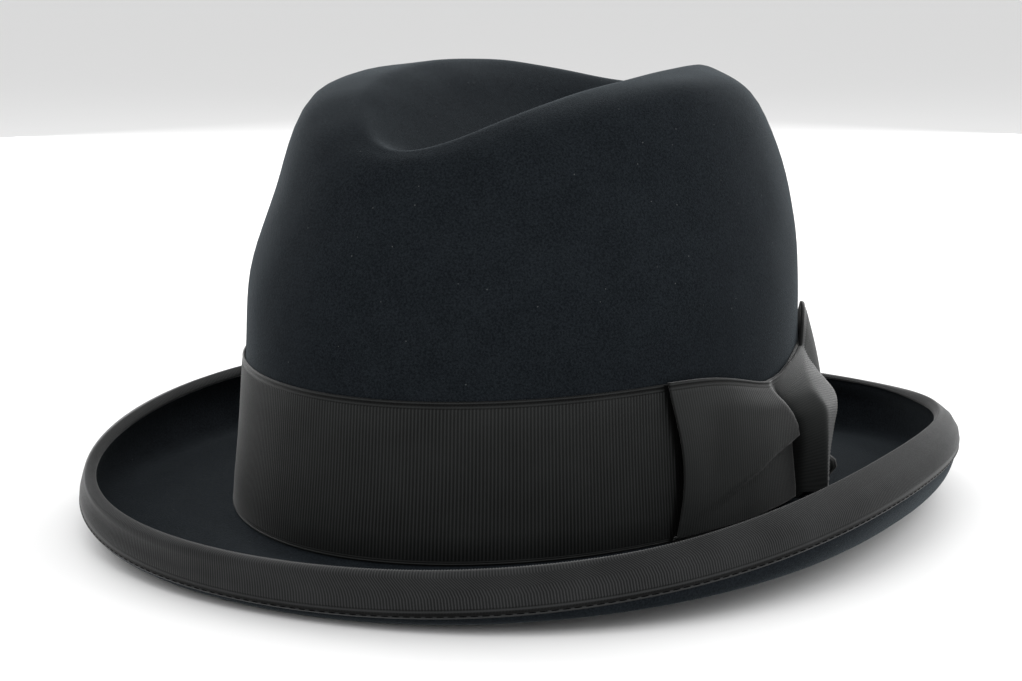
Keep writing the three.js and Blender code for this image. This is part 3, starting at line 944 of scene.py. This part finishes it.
def ribbon_material(name, valley, crest, roughness, sheen):
    """Black grosgrain: ribs that shine softly, with a fine uneven weave. Its colour is painted darker
    between the ribs and lighter on them and on raised cords (painted shade and highlight), and darker where
    parts of the bow meet (painted shade), from a tone per point.
    """
    material, nodes, links, shader = new_material(name)
    where = object_coordinates(nodes)
    # Tone per point from the pieces: painted highlight on ribs and cords, painted shade between ribs and
    # where parts meet
    rib = nodes.new("ShaderNodeAttribute")
    rib.attribute_name = "rib"
    weave = noise(nodes, links, where, WEAVE_SIZE, 2)
    fading = noise(nodes, links, where, FADING_SIZE, 3)
    tone = math_node(nodes, links, "MULTIPLY_ADD", rib.outputs["Fac"], RIB_SHARE)
    links.new(math_node(nodes, links, "MULTIPLY", fading, FADING_SHARE), tone.node.inputs[2])
    links.new(ramp(nodes, links, tone, zip(RIB_STOPS, (valley, crest))), shader.inputs["Base Color"])
    shader.inputs["Roughness"].default_value = roughness
    shader.inputs["Specular IOR Level"].default_value = 0.08
    shader.inputs["Sheen Weight"].default_value = sheen
    shader.inputs["Sheen Roughness"].default_value = 0.35
    links.new(bump(nodes, links, weave, WEAVE_DEPTH), shader.inputs["Normal"])
    return material


THREAD_DARK = (0.001, 0.001, 0.0011)
THREAD_LIGHT = (0.003, 0.003, 0.0033)
THREAD_STOPS = (0.35, 0.7)
TWIST_SIZE = 0.3 * MM
TWIST_DEPTH = 0.05 * MM


def thread_material():
    material, nodes, links, shader = new_material("thread")
    twist = noise(nodes, links, object_coordinates(nodes), TWIST_SIZE, 1)
    color = ramp(nodes, links, twist, zip(THREAD_STOPS, (THREAD_DARK, THREAD_LIGHT)))
    links.new(color, shader.inputs["Base Color"])
    shader.inputs["Roughness"].default_value = 0.9
    shader.inputs["Specular IOR Level"].default_value = 0.03
    links.new(bump(nodes, links, twist, TWIST_DEPTH), shader.inputs["Normal"])
    return material


felt = felt_material()
ribbon = ribbon_material("grosgrain", RIBBON_VALLEY, RIBBON_CREST, roughness=0.55, sheen=0.2)
# Lighter copy of the same grosgrain for the binding: painted light
binding = ribbon_material("grosgrain_binding", BINDING_VALLEY, BINDING_CREST, roughness=0.6, sheen=0.3)
thread = thread_material()

place(make_felt(), felt, "felt", "felt_body")
place(make_band(), ribbon, "ribbon", "hat_band")
place(make_binding(), binding, "binding", "brim_binding")
place(make_stitches(), thread, "binding")
place(make_front_loop(), ribbon, "ribbon", "bow_front_loop")
place(make_rear_loop(), ribbon, "ribbon", "bow_rear_loop")
place(make_knot(), ribbon, "ribbon", "bow_knot")


# Camera at the photograph's angle, with the photograph's scale at its target

CAMERA_AZIMUTH = 29.455
CAMERA_ELEVATION = 10.393
CAMERA_ROLL = -0.164
CAMERA_DISTANCE = 685.9 * MM
CAMERA_TARGET = Vector((-2.7, -6.33, 51.4)) * MM
PIXELS_PER_MM = 3.204
IMAGE_WIDTH = 1022
SENSOR_WIDTH = 36


def camera_axes():
    azimuth, elevation = math.radians(CAMERA_AZIMUTH), math.radians(CAMERA_ELEVATION)
    back = Vector((
        math.sin(azimuth) * math.cos(elevation),
        -math.cos(azimuth) * math.cos(elevation),
        math.sin(elevation),
    ))
    right = Vector((0, 0, 1)).cross(back).normalized()
    return right, back.cross(right), back


def add_camera():
    right, up, back = camera_axes()
    roll = math.radians(CAMERA_ROLL)
    turned_right = right * math.cos(roll) + up * math.sin(roll)
    turned_up = up * math.cos(roll) - right * math.sin(roll)
    camera = bpy.data.objects.new("camera", bpy.data.cameras.new("camera"))
    bpy.context.scene.collection.objects.link(camera)
    turn = Matrix((turned_right, turned_up, back)).transposed().to_4x4()
    camera.matrix_world = Matrix.Translation(CAMERA_TARGET + back * CAMERA_DISTANCE) @ turn
    camera.data.sensor_width = SENSOR_WIDTH
    camera.data.lens = PIXELS_PER_MM * CAMERA_DISTANCE / MM * SENSOR_WIDTH / IMAGE_WIDTH
    camera.data.clip_start = 0.05
    bpy.context.scene.camera = camera


# Studio: pale floor, white surroundings and soft lamps round the hat, given from where the camera looks

LAMP_COLUMNS = "name azimuth elevation distance width height power"
LAMPS = (
    ("back_left", -140, 18, 1.2, 1, 1, 10),
    ("back_right", 140, 18, 1.2, 1, 1, 11),
    ("right", 90, 28, 1.2, 1, 1, 3.5),
    ("left", -70, 35, 1.2, 1, 1, 1.5),
    ("front", 0, 60, 1.2, 1, 1, 4),
    ("front_right", 50, 15, 1.2, 1, 1, 2),
)
LAMP_TARGET = Vector((0, 0, 60)) * MM
WORLD_STRENGTH = 0.8
FLOOR_SIZE = 12
FLOOR_COLOR = (0.86, 0.86, 0.86)
FLOOR_SPECK_SIZE = 30 * MM
FLOOR_SPECK_LIGHT = 1.01


def add_lamp(name, azimuth, elevation, distance, width, height, power):
    """Area lamp at an angle round the hat from the camera's side."""
    a, e = math.radians(CAMERA_AZIMUTH + azimuth), math.radians(elevation)
    back = Vector((math.sin(a) * math.cos(e), -math.cos(a) * math.cos(e), math.sin(e)))
    data = bpy.data.lights.new(name, "AREA")
    data.shape = "RECTANGLE"
    data.size, data.size_y, data.energy = width, height, power
    lamp = bpy.data.objects.new(name, data)
    lamp.location = LAMP_TARGET + back * distance
    lamp.rotation_mode = "QUATERNION"
    lamp.rotation_quaternion = back.to_track_quat("Z", "Y")
    lamp.visible_camera = False
    bpy.context.scene.collection.objects.link(lamp)


def add_studio():
    world = bpy.data.worlds.new("studio")
    world.use_nodes = True
    world.node_tree.nodes["Background"].inputs["Strength"].default_value = WORLD_STRENGTH
    world.node_tree.nodes["Background"].inputs["Color"].default_value = (1, 1, 1, 1)
    bpy.context.scene.world = world
    for lamp in table(LAMP_COLUMNS, LAMPS):
        add_lamp(**lamp)
    half = FLOOR_SIZE / 2
    corners = np.array([(-half, -half, 0), (half, -half, 0), (half, half, 0), (-half, half, 0)])
    floor = add_mesh("floor", corners, np.array([[0, 1, 2, 3]]))
    material, nodes, links, shader = new_material("pale_floor")
    speckle = noise(nodes, links, object_coordinates(nodes), FLOOR_SPECK_SIZE, 2)
    light = tuple(channel * FLOOR_SPECK_LIGHT for channel in FLOOR_COLOR)
    tone = ramp(nodes, links, speckle, ((0, FLOOR_COLOR), (1, light)))
    links.new(tone, shader.inputs["Base Color"])
    shader.inputs["Roughness"].default_value = 0.9
    shader.inputs["Specular IOR Level"].default_value = 0.1
    floor.data.materials.append(material)


add_camera()
add_studio()
bpy.context.scene.view_settings.view_transform = "Standard"
